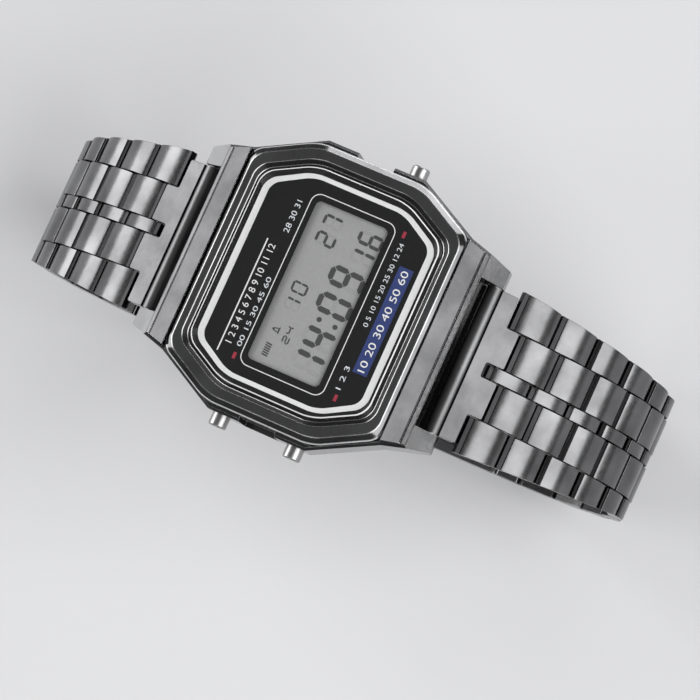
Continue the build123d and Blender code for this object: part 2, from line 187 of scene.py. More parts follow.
def moulded(name, colour, other, rough, scale=900.0, bump=0.004, shine=0.5):
    """Plastic, rubber or ink with slightly mottled colour and a fine grain."""
    material, nodes, links, main, place = shader(name)
    mottle = nodes.new("ShaderNodeTexNoise")
    mottle.inputs["Scale"].default_value = scale
    mottle.inputs["Detail"].default_value = 5.0
    links.new(place, mottle.inputs["Vector"])
    tone = nodes.new("ShaderNodeMix")
    tone.data_type = "RGBA"
    tone.inputs[6].default_value = (*colour, 1)
    tone.inputs[7].default_value = (*other, 1)
    links.new(mottle.outputs["Fac"], tone.inputs[0])
    links.new(tone.outputs[2], main.inputs["Base Color"])
    relief = nodes.new("ShaderNodeBump")
    relief.inputs["Strength"].default_value = 0.6
    relief.inputs["Distance"].default_value = bump * mm
    links.new(mottle.outputs["Fac"], relief.inputs["Height"])
    links.new(relief.outputs["Normal"], main.inputs["Normal"])
    main.inputs["Roughness"].default_value = rough
    main.inputs["Specular IOR Level"].default_value = shine
    return material


def piece_from(name, mesh, body, material, sharp=38):
    """Turns a bmesh into a smooth-shaded piece on its body."""
    data = bpy.data.meshes.new(name)
    mesh.to_mesh(data)
    mesh.free()
    data.materials.append(material)
    data.shade_smooth()
    data.set_sharp_from_angle(angle=radians(sharp))
    piece = bpy.data.objects.new(name, data)
    scene.collection.objects.link(piece)
    even = piece.modifiers.new("even_shading", "WEIGHTED_NORMAL")
    even.keep_sharp = True
    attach(piece, body)
    return piece


def merged_copy(node):
    """A copy of a CAD node's mesh with its triangles joined into flat faces."""
    mesh = bmesh.new()
    mesh.from_mesh(frame["nodes"][node].data)
    bmesh.ops.remove_doubles(mesh, verts=mesh.verts, dist=0.002 * mm)
    bmesh.ops.dissolve_limit(mesh, angle_limit=radians(1.0), verts=mesh.verts, edges=mesh.edges)
    return mesh


def round_over(mesh, edges, width, segments, clamp=True):
    """Bevels some edges of a mesh and returns the new faces."""
    return bmesh.ops.bevel(
        mesh, geom=list(edges), offset=width, offset_type="OFFSET", segments=segments, profile=0.5,
        affect="EDGES", clamp_overlap=clamp, material=-1,
    )["faces"]


def soften(mesh, width, segments=3, chosen=None):
    """Bevels the sharp edges of a mesh, or those of them that a test picks."""
    sharp = [e for e in mesh.edges if len(e.link_faces) == 2 and e.calc_face_angle(0) > edge_angle]
    if chosen:
        sharp = [e for e in sharp if all(chosen(v.co / mm) for v in e.verts)]
    return round_over(mesh, sharp, width, segments)


def octagon_points(half_x, half_y, side, end):
    """The corners of an octagon: half width, half length, half its sides and half its ends."""
    quarter = [(half_x, side), (end, half_y)]
    points = quarter + [(-x, y) for x, y in reversed(quarter)]
    return points + [(-x, -y) for x, y in quarter] + [(x, -y) for x, y in reversed(quarter)]


def drawn_in(size, inset):
    """The size of an octagon drawn in evenly, or grown by a negative amount."""
    half_x, half_y, side, end = size
    lean = atan2(half_x - end, half_y - side)
    side, end = side - inset * tan(lean / 2), end - inset * tan(pi / 4 - lean / 2)
    return half_x - inset, half_y - inset, side, end


def swept_octagon(rows, corner, closed):
    """A round-cornered octagonal skin. A row is a size, a height and the material up to the next.
    The rows are joined a step apart and set to their heights after that, as some lie level."""
    mesh = bmesh.new()
    loops, heights = [], []
    for step, (size, height, _) in enumerate(rows):
        corners = [mesh.verts.new((x * mm, y * mm, step * mm)) for x, y in octagon_points(*size)]
        mesh.faces.new(corners)
        bmesh.ops.bevel(
            mesh, geom=corners, offset=corner * mm, offset_type="OFFSET", segments=6, profile=0.5,
            affect="VERTICES", clamp_overlap=True, material=-1,
        )
        face = next(iter(mesh.faces))
        loops.append(list(face.edges))
        heights.append((list(face.verts), height))
        bmesh.ops.delete(mesh, geom=[face], context="FACES_ONLY")
    pairs = list(zip(loops, loops[1:]))
    if closed:
        pairs.append((loops[-1], loops[0]))
    for (near, far), (_, _, kind) in zip(pairs, rows):
        for face in bmesh.ops.bridge_loops(mesh, edges=near + far)["faces"]:
            face.material_index = kind
    if not closed:
        bmesh.ops.edgeloop_fill(mesh, edges=loops[0])
        bmesh.ops.edgeloop_fill(mesh, edges=loops[-1])
    for verts, height in heights:
        for vert in verts:
            vert.co.z = height * mm
    bmesh.ops.recalc_face_normals(mesh, faces=mesh.faces)
    return mesh


def join(mesh, part):
    """Moves a part's mesh into another mesh."""
    carrier = bpy.data.meshes.new("carrier")
    part.to_mesh(carrier)
    part.free()
    mesh.from_mesh(carrier)
    bpy.data.meshes.remove(carrier)


def cut_away(mesh, point, normal):
    """Cuts a mesh on a plane, drops the side that the normal points to and closes the cut."""
    bmesh.ops.bisect_plane(
        mesh, geom=list(mesh.verts) + list(mesh.edges) + list(mesh.faces), dist=1e-7,
        plane_co=Vector(point) * mm, plane_no=normal, clear_outer=True,
    )
    rims = [e for e in mesh.edges if e.is_boundary]
    bmesh.ops.triangle_fill(mesh, edges=rims, use_beauty=True, use_dissolve=True)
    bmesh.ops.recalc_face_normals(mesh, faces=mesh.faces)


def slab_mesh(low, high):
    """A block between two corners, in millimetres."""
    mesh = bmesh.new()
    bmesh.ops.create_cube(mesh, size=1.0)
    low, high = Vector(low) * mm, Vector(high) * mm
    size = Matrix.Diagonal((*(high - low), 1))
    bmesh.ops.transform(mesh, matrix=Matrix.Translation((low + high) / 2) @ size, verts=mesh.verts)
    return mesh


# Half width, half length and height of the two hollows, then place and reach of the two bores.
back_seat, hollow = (14.0, 13.8, 1.2), (13.4, 11.6, 7.3)
pusher_bore, bar_hole = (4.6, 4.3, 1.3), (17.6, 3.0, 0.6)


def outside_case(point):
    """True on the case's outer skin, away from its hollow, its seats and its bores."""
    x, y, z = abs(point.x), abs(point.y), point.z
    for wide, long, high in (back_seat, hollow):
        if x < wide and y < long and z < high:
            return False
    for middle, up, reach in (pusher_bore, bar_hole):
        if abs(y - middle) < reach and abs(z - up) < reach:
            return False
    return True


dark_plating = plating(
    "dark_plating", (0.085, 0.085, 0.087), (0.14, 0.14, 0.143), 0.10, 0.2, wave=0.02
)
seat_black = moulded("seat_black", (0.004, 0.004, 0.004), (0.008, 0.008, 0.008), 0.35, shine=0.2)
# Pale metal for the softened outer edges: a painted highlight along them.
edge_highlight_plating = plating("edge_highlight_plating", (0.62, 0.62, 0.62), (0.78, 0.78, 0.78), 0.22, 0.36)
# Near-black plating for the slot walls, wing creases, shelves and the gaps in the bracelet:
# painted shade.
painted_shade_plating = plating("painted_shade_plating", (0.018, 0.018, 0.019), (0.03, 0.03, 0.031), 0.2, 0.35)
# Lighter plating for thin lines along the bezel's slopes: painted highlights.
line_highlight_plating = plating("line_highlight_plating", (0.26, 0.26, 0.26), (0.36, 0.36, 0.36), 0.2, 0.34)
wing_plating = plating(
    "wing_plating", (0.055, 0.055, 0.057), (0.095, 0.095, 0.098), 0.12, 0.24, wave=0.03
)
bezel_plating = plating(
    "bezel_plating", (0.19, 0.19, 0.193), (0.26, 0.26, 0.263), 0.12, 0.22, wave=0.02
)
# A lighter copy of the plating for the lugs' upper faces: painted light.
lit_lug_plating = plating(
    "lit_lug_plating", (0.40, 0.40, 0.405), (0.58, 0.58, 0.585), 0.16, 0.3, wave=0.03
)

# The case is put together from its lower part, the two wings and the bezel's ring, and two shelves
# in painted shade close the slots under the spring bars. Each face has the number of its finish or
# painted shade.
metal, black, edge_highlight, painted_shade, fine, wing_tone, flat, lug_painted_light = range(8)
guard_level, wing_level, wing_root = 6.43, 6.3, 13.42
crease_y, crease_low, crease_flat, crease_near = 15.5, 6.8, 0.16, 0.02
lug_face_start, lug_face_low = crease_y - 0.1, 3.5
slot_half, slot_start, slot_low, slot_high = 9.05, 13.9, 0.3, 6.25
shelf_half, shelf_in, shelf_out, shelf_low, shelf_high = 8.8, 15.0, 16.5, 1.6, 2.2
corner_round = 1.3
bezel = (15.8, 13.5, 6.6, 12.1)
glass = (13.1, 11.05, 5.6, 10.2)
dial = (12.05, 10.15, 5.6, 9.5)

case_mesh = merged_copy("case_middle")
cut_away(case_mesh, (0, 0, guard_level), (0, 0, 1))
# The softened outer edges take the pale metal: painted highlights.
edge_highlight_faces = set(soften(case_mesh, case_edge, 3, outside_case))
for face in case_mesh.faces:
    middle = face.calc_center_median() / mm
    along = abs(middle.y)
    if face in edge_highlight_faces:
        face.material_index = edge_highlight
    # Upward faces at the lug ends take the lighter copy: painted light.
    elif along > lug_face_start and middle.z > lug_face_low and face.normal.z > 0.5:
        face.material_index = lug_painted_light
    # The walls of the slots between the lugs: painted shade.
    elif abs(middle.x) < slot_half and along > slot_start and slot_low < middle.z < slot_high:
        face.material_index = painted_shade


def on_crease(edge):
    """True for the long edge where a wing's two slopes meet."""
    level = all(abs(abs(v.co.y) - crease_y * mm) < crease_near * mm for v in edge.verts)
    return level and edge.calc_length() > mm and all(v.co.z > crease_low * mm for v in edge.verts)


for way in (1, -1):
    wing = merged_copy("case_middle")
    cut_away(wing, (0, 0, wing_level), (0, 0, -1))
    cut_away(wing, (0, way * wing_root, 0), (0, -way, 0))
    # The lug end of each wing takes the lighter copy: painted light.
    for face in wing.faces:
        outer = abs(face.calc_center_median().y) > crease_y * mm
        face.material_index = lug_painted_light if outer else wing_tone
    # The wings' softened edges take the pale metal too: painted highlights.
    for face in soften(wing, case_edge, 3):
        face.material_index = edge_highlight
    # The narrow flat along each wing's crease: a painted shade line.
    for face in round_over(wing, filter(on_crease, wing.edges), crease_flat * mm, 1, False):
        face.material_index = painted_shade
    join(case_mesh, wing)
    # A shelf of painted shade closes the slot under each spring bar.
    y0, y1 = sorted((way * shelf_in, way * shelf_out))
    shelf = slab_mesh((-shelf_half, y0, shelf_low), (shelf_half, y1, shelf_high))
    for face in shelf.faces:
        face.material_index = painted_shade
    join(case_mesh, shelf)

# Up the bezel's outer edge, over its flat, down to the crystal's seat and on to the dial. The thin
# rows of lighter plating along the slopes are painted highlight lines.
# The rim rows near the foot of the bezel take the pale edge metal: a painted highlight.
bezel_rows = [
    (bezel, 6.05, metal), (bezel, 7.24, edge_highlight), (drawn_in(bezel, 0.05), 7.38, edge_highlight),
    (drawn_in(bezel, 0.14), 7.47, metal), (drawn_in(bezel, 0.66), 7.88, fine),
    (drawn_in(bezel, 0.72), 7.92, fine), (drawn_in(bezel, 0.80), 7.945, flat),
    (drawn_in(bezel, 0.95), 7.972, flat), (drawn_in(bezel, 1.10), 7.992, flat),
    (drawn_in(bezel, 1.24), 8.0, flat), (drawn_in(glass, -1.14), 7.99, flat),
    (drawn_in(glass, -1.02), 7.972, flat), (drawn_in(glass, -0.92), 7.945, fine),
    (drawn_in(glass, -0.86), 7.90, black), (drawn_in(glass, -0.43), 7.58, fine),
    (drawn_in(glass, -0.38), 7.51, fine), (drawn_in(glass, -0.34), 7.5, black),
    (drawn_in(glass, -0.05), 7.5, black), (drawn_in(glass, -0.05), 7.39, black),
    (dial, 7.39, black), (dial, 6.05, metal),
]
join(case_mesh, swept_octagon(bezel_rows, corner_round, True))
case = piece_from("case_shell", case_mesh, "case", dark_plating)
for finish in (
    seat_black, edge_highlight_plating, painted_shade_plating, line_highlight_plating, wing_plating, bezel_plating, lit_lug_plating
):
    case.data.materials.append(finish)
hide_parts("case_middle")


# Spring bars: two plain steel tubes with sprung tips that sit in the lugs' blind holes and carry
# the end links. Only their ends can be glimpsed, so the solids stay and get a drawn-steel finish.
def repaint(node, material):
    """Gives a CAD node that keeps its shape its finished material."""
    data = frame["nodes"][node].data
    data.materials.clear()
    data.materials.append(material)


bar_steel = plating(
    "drawn_steel", (0.42, 0.42, 0.42), (0.52, 0.52, 0.52), 0.25, 0.38, finish=(0.1, 1, 1)
)
repaint("spring_bars", bar_steel)


# Case back and its seal: a brushed steel plate that snaps in from below over a flat rubber gasket,
# with a small notch at 6 o'clock for opening it.
back_edge = 0.08 * mm
back_steel = plating(
    "brushed_back", (0.30, 0.30, 0.31), (0.40, 0.40, 0.41), 0.26, 0.42, 3800.0, 0.004, (0.06, 1, 1)
)
back_mesh = merged_copy("case_back")
soften(back_mesh, back_edge, 2)
back = piece_from("back_plate", back_mesh, "case", back_steel)
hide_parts("case_back")
gasket_rubber = moulded("black_gasket", (0.015, 0.015, 0.015), (0.03, 0.03, 0.03), 0.6)
repaint("back_gasket", gasket_rubber)


# Movement: a black moulded frame with the green board, its chip, a coin cell under a sprung strap,
# the sounder disc on the back, and striped rubber strips that carry the board's signals up.
frame_black = moulded("frame_moulding", (0.02, 0.02, 0.022), (0.035, 0.035, 0.037), 0.5)
board_green = moulded("green_board", (0.02, 0.10, 0.04), (0.03, 0.16, 0.06), 0.35)
strip_rubber = moulded("strip_rubber", (0.05, 0.05, 0.05), (0.35, 0.30, 0.28), 0.6, 2500.0)
reflector_white = moulded("white_moulding", (0.80, 0.80, 0.77), (0.86, 0.86, 0.84), 0.55)
cell_steel = plating("nickelled_steel", (0.48, 0.48, 0.47), (0.60, 0.60, 0.59), 0.18, 0.30)
sounder_brass = plating("sounder_brass", (0.55, 0.40, 0.16), (0.66, 0.50, 0.22), 0.25, 0.38)
repaint("module_frame", frame_black)
repaint("circuit_board", board_green)
repaint("connector_strips", strip_rubber)
repaint("reflector", reflector_white)
repaint("battery", cell_steel)
repaint("battery_clip", cell_steel)
repaint("sounder", sounder_brass)


# Display: a glass cell whose grey rear film lies under the liquid-crystal segments. The segments
# show a time, a date and two signs, and those that are off can just be made out.
cell_low, cell_high = (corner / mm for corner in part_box("lcd_cell"))
sign_low = cell_high.z - 0.03
sign_high = sign_low + 0.02
slant = 0.05
# Where the painted shadow under the window's upper edge starts and ends, and how dark it gets.
shade_start, shade_end, shade_depth = 3.4, 4.3, 0.62


def draw_out(mesh, faces, way):
    """Draws flat faces out by a way in x, y and z (millimetres), and turns all faces outwards."""
    drawn = bmesh.ops.extrude_face_region(mesh, geom=faces)["geom"]
    far = [part for part in drawn if isinstance(part, bmesh.types.BMVert)]
    bmesh.ops.translate(mesh, verts=far, vec=[length * mm for length in way])
    bmesh.ops.recalc_face_normals(mesh, faces=mesh.faces)


def add_plate(mesh, outline, low, high):
    """Adds a flat shape with straight sides to a mesh: its outline in x and y, in millimetres."""
    base = mesh.faces.new([mesh.verts.new((x * mm, y * mm, low * mm)) for x, y in outline])
    draw_out(mesh, [base], (0, 0, high - low))


film, nodes, links, main, place = shader("display_film")
speck = nodes.new("ShaderNodeTexNoise")
speck.inputs["Scale"].default_value = 6000.0
speck.inputs["Detail"].default_value = 3.0
links.new(place, speck.inputs["Vector"])
tone = nodes.new("ShaderNodeValToRGB")
tone.color_ramp.elements[0].position = 0.3
tone.color_ramp.elements[1].position = 0.75
tone.color_ramp.elements[0].color = (0.27, 0.272, 0.27, 1)
tone.color_ramp.elements[1].color = (0.31, 0.312, 0.31, 1)
links.new(speck.outputs["Fac"], tone.inputs["Fac"])
height = nodes.new("ShaderNodeSeparateXYZ")
links.new(place, height.inputs["Vector"])
# The film darkens towards the window's upper edge: a painted shadow of that edge.
shade = nodes.new("ShaderNodeMapRange")
shade.inputs["From Min"].default_value = shade_start * mm
shade.inputs["From Max"].default_value = shade_end * mm
shade.inputs["To Min"].default_value = 1.0
shade.inputs["To Max"].default_value = shade_depth
links.new(height.outputs["Y"], shade.inputs["Value"])
shaded = nodes.new("ShaderNodeMix")
shaded.data_type = "RGBA"
shaded.blend_type = "MULTIPLY"
shaded.inputs[0].default_value = 1.0
links.new(tone.outputs["Color"], shaded.inputs[6])
links.new(shade.outputs["Result"], shaded.inputs[7])
links.new(shaded.outputs[2], main.inputs["Base Color"])
main.inputs["Roughness"].default_value = 0.45
film_mesh = slab_mesh(cell_low, (cell_high.x, cell_high.y, sign_low))
film_piece = piece_from("display_film", film_mesh, "case", film)
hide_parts("lcd_cell")

segment_places = {
    "a": ((0, 1), (1, 1)), "b": ((1, 1), (1, 0.5)), "c": ((1, 0.5), (1, 0)), "d": ((0, 0), (1, 0)),
    "e": ((0, 0.5), (0, 0)), "f": ((0, 1), (0, 0.5)), "g": ((0, 0.5), (1, 0.5)),
}
lit_segments = {
    "0": "abcdef", "1": "bc", "2": "abged", "4": "fgbc", "6": "afgedc", "7": "abc", "9": "abcdfg",
}


def add_segment(mesh, left, base, width, height, stroke, name):
    """Adds one bar of a seven-bar digit, with pointed ends, leaning as the digit does."""
    (u0, v0), (u1, v1) = segment_places[name]
    half = stroke / 2
    x0, y0 = left + half + u0 * (width - stroke), base + half + v0 * (height - stroke)
    x1, y1 = left + half + u1 * (width - stroke), base + half + v1 * (height - stroke)
    gap = 0.09 * stroke
    if y0 == y1:
        shape = [(x0 + gap, y0), (x0 + gap + half, y0 + half), (x1 - gap - half, y1 + half)]
        shape += [(x1 - gap, y1), (x1 - gap - half, y1 - half), (x0 + gap + half, y0 - half)]
    else:
        y0, y1 = max(y0, y1), min(y0, y1)
        shape = [(x0, y0 - gap), (x0 + half, y0 - gap - half), (x0 + half, y1 + gap + half)]
        shape += [(x1, y1 + gap), (x1 - half, y1 + gap + half), (x0 - half, y0 - gap - half)]
    add_plate(mesh, [(x + slant * (y - base), y) for x, y in shape], sign_low, sign_high)


# Each digit's figure, left end, base line, width, height and stroke.
digits = [
    ("1", -8.66, -4.62, 2.15, 4.2, 0.62), ("4", -5.9, -4.62, 2.3, 4.2, 0.62),
    ("0", -1.88, -4.72, 2.36, 4.3, 0.62), ("9", 1.38, -4.72, 2.36, 4.3, 0.62),
    ("1", 4.75, -4.75, 1.5, 3.05, 0.4), ("6", 6.9, -4.75, 1.6, 3.05, 0.4),
    ("2", 5.12, 0.3, 1.5, 2.4, 0.32), ("7", 7.2, 0.3, 1.45, 2.4, 0.32),
    ("1", -2.9, 0.95, 1.3, 1.9, 0.24), ("0", -0.95, 0.95, 1.35, 1.9, 0.24),
]
small_left, small_base, small_step = -6.6, 0.5, 1.12
small_width, small_height, small_stroke = 0.9, 0.84, 0.15
colon_dots, dot_radius, dot_sides = ((-2.56, -1.58), (-2.66, -3.57)), 0.29, 24
bars, bars_left, bars_low, bars_high = 6, -8.7, 2.08, 2.8
bar_step, bar_width, bar_lean = 0.27, 0.17, 0.06
bell_x, bell_y = -5.49, 2.35
bell = [
    (-0.42, -0.36), (-0.28, -0.2), (-0.2, 0.28), (-0.07, 0.5),
    (0.07, 0.5), (0.2, 0.28), (0.28, -0.2), (0.42, -0.36),
]
inner_bell = [(x * 0.55, y * 0.5) for x, y in bell]

shown, faint = bmesh.new(), bmesh.new()
for figure, *size in digits:
    for name in segment_places:
        add_segment(shown if name in lit_segments[figure] else faint, *size, name)
for x, y in colon_dots:
    turns = [2 * pi * n / dot_sides for n in range(dot_sides)]
    circle = [(x + dot_radius * cos(a), y + dot_radius * sin(a)) for a in turns]
    add_plate(shown, circle, sign_low, sign_high)
for n in range(bars):
    x = bars_left + bar_step * n
    bar = [(x, bars_low), (x + bar_width, bars_low)]
    bar += [(x + bar_width + bar_lean, bars_high), (x + bar_lean, bars_high)]
    add_plate(shown, bar, sign_low, sign_high)
for n in range(len(bell)):
    ring = [bell[n - 1], bell[n], inner_bell[n], inner_bell[n - 1]]
    add_plate(shown, [(x + bell_x, y + bell_y) for x, y in ring], sign_low, sign_high)
for n, figure in enumerate("24"):
    size = small_left + small_step * n, small_base, small_width, small_height, small_stroke
    for name in lit_segments[figure]:
        add_segment(shown, *size, name)
ink, _, _, main, _ = shader("segment_ink")
main.inputs["Base Color"].default_value = (0.04, 0.041, 0.04, 1)
main.inputs["Roughness"].default_value = 0.5
piece_from("segments_on", shown, "case", ink)
weak_ink, _, _, main, _ = shader("segment_trace")
main.inputs["Base Color"].default_value = (0.30, 0.305, 0.30, 1)
main.inputs["Alpha"].default_value = 0.06
main.inputs["Roughness"].default_value = 0.5
under_top = (sign_high - 0.001) * mm
lower = [face for face in faint.faces if face.calc_center_median().z < under_top]
bmesh.ops.delete(faint, geom=lower, context="FACES")
piece_from("segments_off", faint, "case", weak_ink)


# Dial panel: a black glossy printed plate with the display's window. A white octagon, a thin frame
# line, coloured marks and rows of plain figures are screen-printed on it.
print_low = (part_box("dial_panel")[1] / mm).z
print_high = print_low + 0.02
panel_black = moulded(
    "panel_black", (0.003, 0.003, 0.0032), (0.006, 0.006, 0.0063), 0.35, 1500.0, 0.0003, 0.2
)
repaint("dial_panel", panel_black)


def printed(name, colour, other):
    """Screen-printed ink, slightly uneven in tone."""
    return moulded(name, colour, other, 0.45, 2200.0, 0.002)


def rectangle(x0, y0, x1, y1):
    """The outline of a rectangle between two corners."""
    return [(x0, y0), (x1, y0), (x1, y1), (x0, y1)]


def add_band(mesh, outline, corner, width, squeeze=1.0):
    """Adds a printed band along an outline with rounded corners, squeezed along y inside."""
    face = mesh.faces.new([mesh.verts.new((x * mm, y * mm, print_low * mm)) for x, y in outline])
    bmesh.ops.bevel(
        mesh, geom=list(face.verts), offset=corner * mm, offset_type="OFFSET", segments=6,
        profile=0.5, affect="VERTICES", clamp_overlap=True, material=-1,
    )
    face = max(mesh.faces, key=lambda part: part.calc_area())
    strip = bmesh.ops.inset_region(
        mesh, faces=[face], thickness=width * mm, use_even_offset=True, use_boundary=True,
    )["faces"]
    for vert in face.verts:
        vert.co.y *= squeeze
    bmesh.ops.delete(mesh, geom=[face], context="FACES_ONLY")
    draw_out(mesh, strip, (0, 0, print_high - print_low))


white_ink = printed("white_ink", (0.66, 0.66, 0.66), (0.74, 0.74, 0.74))
pale_ink = printed("pale_ink", (0.55, 0.58, 0.62), (0.66, 0.69, 0.72))
blue_ink = printed("blue_ink", (0.012, 0.026, 0.125), (0.018, 0.037, 0.155))
red_ink = printed("red_ink", (0.26, 0.015, 0.035), (0.34, 0.02, 0.045))
octagon_outline = octagon_points(12.38, 10.5, 5.75, 9.7)
mask_outline = rectangle(-10.15, -5.2, 10.15, 4.6)
line_outline = rectangle(-10.55, -5.5, 10.45, 4.85)
# Each band's name, ink, outline, corner, width and squeeze.
for name, ink, *band in (
    ("white_octagon", white_ink, octagon_outline, 1.2, 0.52, 0.976),
    ("window_mask", panel_black, mask_outline, 1.1, 0.5),
    ("window_line", white_ink, line_outline, 1.15, 0.1),
):
    mesh = bmesh.new()
    add_band(mesh, *band)
    piece_from(name, mesh, "case", ink)

mark_wide, mark_high = 0.38, 0.18
mark_places = ((-10.0, 5.45), (-9.85, -6.95), (9.8, -6.45))
marks = [
    rectangle(x - mark_wide, y - mark_high, x + mark_wide, y + mark_high) for x, y in mark_places
]
for name, ink, shapes in (
    ("white_rule", white_ink, [rectangle(-10.2, 7.42, 3.5, 7.57)]),
    ("blue_bar", blue_ink, [rectangle(-6.4, -9.15, 6.45, -7.45)]),
    ("red_marks", red_ink, marks),
):
    mesh = bmesh.new()
    for shape in shapes:
        add_plate(mesh, shape, print_low, print_high)
    piece_from(name, mesh, "case", ink)


def figures(name, text, x, y, height, width, ink, low):
    """Plain printed figures, fitted to their place: left end, base line, height and length."""
    curve = bpy.data.curves.new(name, "FONT")
    curve.body = text
    writing = bpy.data.objects.new(name, curve)
    mesh = bmesh.new()
    mesh.from_mesh(bpy.data.meshes.new_from_object(writing))
    bmesh.ops.remove_doubles(mesh, verts=mesh.verts, dist=1e-5)
    xs = [v.co.x for v in mesh.verts]
    ys = [v.co.y for v in mesh.verts]
    grow_x, grow_y = width / (max(xs) - min(xs)), height / (max(ys) - min(ys))
    for vert in mesh.verts:
        right, up = (vert.co.x - min(xs)) * grow_x, (vert.co.y - min(ys)) * grow_y
        vert.co = Vector((x + right, y + up, low)) * mm
    draw_out(mesh, mesh.faces[:], (0, 0, print_high - print_low))
    bpy.data.objects.remove(writing)
    piece_from(name, mesh, "case", ink)


figures("hour_figures", "1 2 3 4 5 6 7 8 9 10 11 12", -8.9, 6.32, 0.78, 12.0, white_ink, print_low)
figures("minute_figures", "00 15 30 45 60", -8.85, 5.18, 0.56, 8.4, pale_ink, print_low)
figures("year_figures", "28 30 31", 4.9, 5.6, 0.66, 3.9, pale_ink, print_low)
figures("mode_figures", "1 2 3", -8.85, -7.1, 0.6, 2.75, pale_ink, print_low)
figures("split_figures", "0 5 10 15 20 25 30 12 24", -1.3, -6.95, 0.56, 10.1, pale_ink, print_low)
figures("scale_figures", "10 20 30 40 50 60", -6.1, -8.75, 0.84, 12.2, white_ink, print_high)


# Crystal: a flat mineral glass glued into the bezel, clear all through. Its edge has a slope
# coloured pale and matt, a painted highlight that shows as a thin silver line round the dial.
def clear_glass(name, mirror, rough):
    """Clear glass seen straight through: a faint mirror with tiny rub marks in its gloss."""
    material, nodes, links, main, place = shader(name)
    rub = nodes.new("ShaderNodeTexNoise")
    rub.inputs["Scale"].default_value = 300.0
    rub.inputs["Detail"].default_value = 8.0
    links.new(place, rub.inputs["Vector"])
    gloss = nodes.new("ShaderNodeMapRange")
    gloss.inputs["To Min"].default_value = rough
    gloss.inputs["To Max"].default_value = rough * 2.5
    links.new(rub.outputs["Fac"], gloss.inputs["Value"])
    links.new(gloss.outputs["Result"], main.inputs["Roughness"])
    main.inputs["Base Color"].default_value = (1, 1, 1, 1)
    main.inputs["Metallic"].default_value = 1.0
    main.inputs["Alpha"].default_value = mirror
    return material


crystal_clear = clear_glass("crystal_clear", 0.03, 0.03)
# Pale matt colour for the crystal's edge slope: a painted highlight.
edge_highlight_glass = moulded("edge_highlight_glass", (0.66, 0.66, 0.66), (0.78, 0.78, 0.78), 0.4)
glass_low, glass_high = ((corner / mm).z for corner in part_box("crystal"))
# The sloped edge of painted highlight goes from its foot to its head, both measured down from the
# top.
print_clear = 0.06
slope_foot, slope_head, slope_in, top_in = 0.16, 0.02, 0.13, 0.17
clear, highlight_slope = 0, 1
crystal_rows = [
    (glass, glass_low + print_clear, clear), (glass, glass_high - slope_foot, highlight_slope),
    (drawn_in(glass, slope_in), glass_high - slope_head, clear),
    (drawn_in(glass, top_in), glass_high, clear),
]
crystal_mesh = swept_octagon(crystal_rows, corner_round, False)
crystal = piece_from("crystal_glass", crystal_mesh, "case", crystal_clear)
crystal.data.materials.append(edge_highlight_glass)
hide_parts("crystal")


# Pushers: three polished steel plungers in the case's flanks, each with a rounded end, a thin
# stem through the wall and a square clip on its inner end.
pusher_round = 0.22 * mm
bright_steel = plating("bright_steel", (0.28, 0.28, 0.28), (0.36, 0.36, 0.36), 0.28, 0.38)
for name in ("light", "mode", "start"):
    node = "pusher_" + name
    mesh = merged_copy(node)
    outer = max(abs(v.co.x) for v in mesh.verts)
    rim = [e for e in mesh.edges if all(abs(v.co.x) > outer - 1e-6 for v in e.verts)]
    round_over(mesh, rim, pusher_round, 4)
    plunger = piece_from(node + "_plunger", mesh, node, bright_steel)
    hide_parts(node)


# End links: cast steel plates between the lugs. Each turns on its spring bar in a rolled barrel,
# and has notches for the first link's outer pieces and a slot for its centre piece.
ends = (("12", False), ("6", True))
# The links have these too: their depth and height from the pins, their columns' sides, and how far
# a piece reaches past one pin and stops short of the other.
under, edge_top = 0.85, 0.62
centre_half, inter_in, inter_out, outer_in = 0.75, 0.87, 5.27, 5.39
end_round, end_face = 0.725, 0.975

pin_radius, pin_length, pin_sides = 0.3, 2.4, 24
plate_pin, plate_start, plate_top = 3.75, 0.75, 0.88
plate_round, plate_edge = 0.22, 0.11
slot_extra = 0.45
web_end, web_top = 0.85, 0.5
barrel_radius, barrel_half, barrel_sides = 0.95, 8.85, 56
rolled = 1
plate_plating = plating(
    "plate_plating", (0.068, 0.068, 0.07), (0.115, 0.115, 0.118), 0.16, 0.3, 2200.0, 0.04
)
# A lighter copy of the plate's plating for the barrel: painted light on it.
lit_barrel_plating = plating(
    "lit_barrel_plating", (0.115, 0.115, 0.117), (0.16, 0.16, 0.163), 0.34, 0.46
)
joints = {joint["name"]: joint for joint in frame["joints"]}


def pivot(name):
    """A joint's place at rest, in metres."""
    return Vector(joints[name]["pos_m"])


def laid(start, end, half_turn):
    """Where a piece goes whose own +Y runs from one pivot to the next, and +Z outward."""
    slope = atan2(start.z - end.z, end.y - start.y)
    place = Matrix.Translation(start) @ Matrix.Rotation(-slope, 4, "X")
    return Matrix.Rotation(pi, 4, "Z") @ place if half_turn else place


def side_shape(profile, x0, x1):
    """A shape with one side outline, in y and z, drawn across from x0 to x1 (millimetres)."""
    mesh = bmesh.new()
    base = mesh.faces.new([mesh.verts.new((x0 * mm, y * mm, z * mm)) for y, z in profile])
    draw_out(mesh, [base], (x1 - x0, 0, 0))
    return mesh


def add_rod(mesh, radius, length, sides, y=0.0):
    """Adds a rod across the bracelet and returns its corners."""
    return bmesh.ops.create_cone(
        mesh, cap_ends=True, segments=sides, radius1=radius * mm, radius2=radius * mm,
        depth=length * mm,
        matrix=Matrix.Translation((0, y * mm, 0)) @ Matrix.Rotation(pi / 2, 4, "Y"),
    )["verts"]


def cross_pin(y):
    """A steel pin across the middle slot."""
    mesh = bmesh.new()
    add_rod(mesh, pin_radius, pin_length, pin_sides, y)
    return mesh


